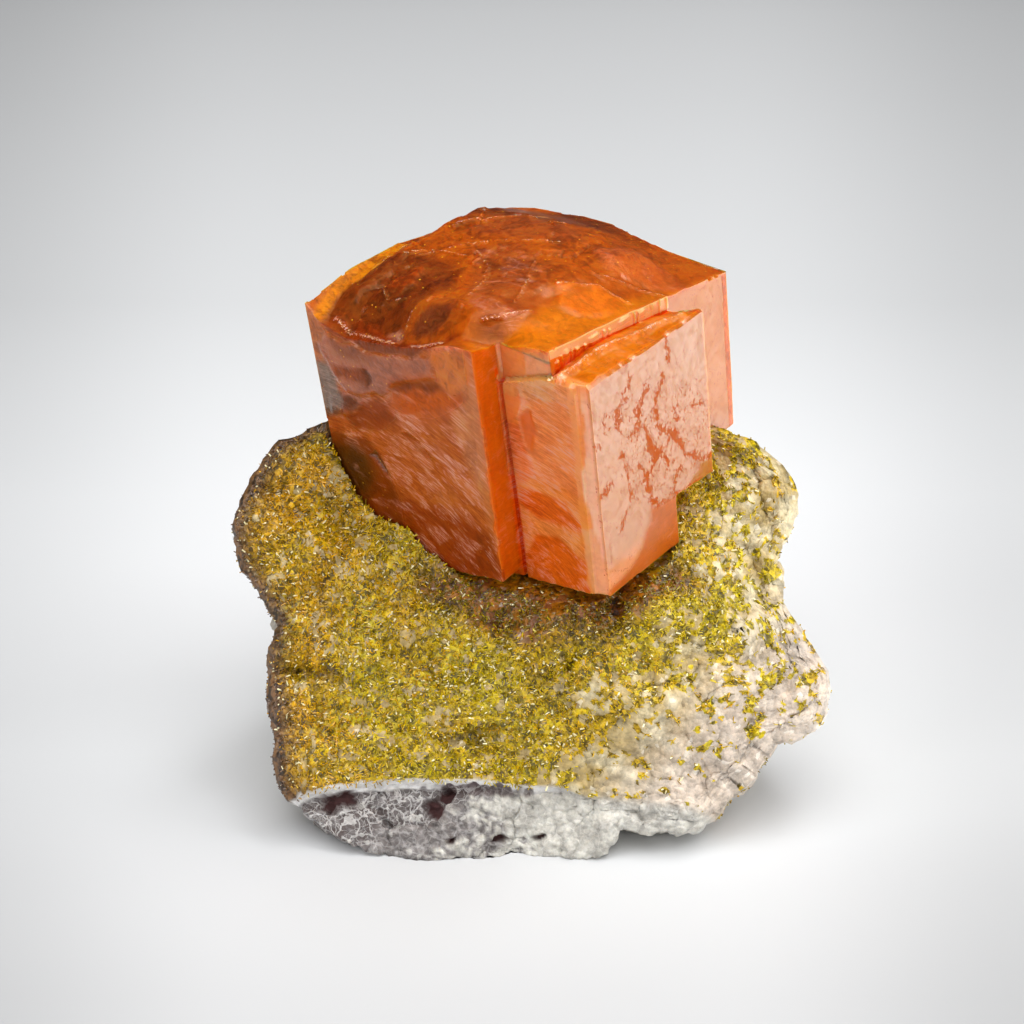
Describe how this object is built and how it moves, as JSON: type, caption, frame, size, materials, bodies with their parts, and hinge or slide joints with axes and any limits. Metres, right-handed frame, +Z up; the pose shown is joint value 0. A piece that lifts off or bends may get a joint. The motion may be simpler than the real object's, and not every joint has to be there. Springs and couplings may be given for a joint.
{
  "type": "wulfenite mineral specimen",
  "caption": "Blocky translucent orange wulfenite crystal seated on a leaning wedge of quartz rock whose sloping front is covered with fine yellow-green needles.",
  "frame": {"origin": "middle of the bounding box in plan, on the ground that the rock rests on", "axes": "+Z up; the needle-covered sloping front looks towards -Y; +X to the right as seen from the front"},
  "size_m": [0.0341, 0.0274, 0.0331],
  "materials": {
    "wulfenite": "translucent deep orange, vitreous to resinous, growth-stepped top",
    "quartz_rock": "sugary white to grey quartz, broken and pitted along the foot",
    "mimetite": "glittering olive to yellow-green needles"
  },
  "bodies": {
    "root": {"wulfenite_crystal": "wulfenite", "quartz_matrix": "quartz_rock", "mimetite_crust": "mimetite"}
  },
  "joints": []
}
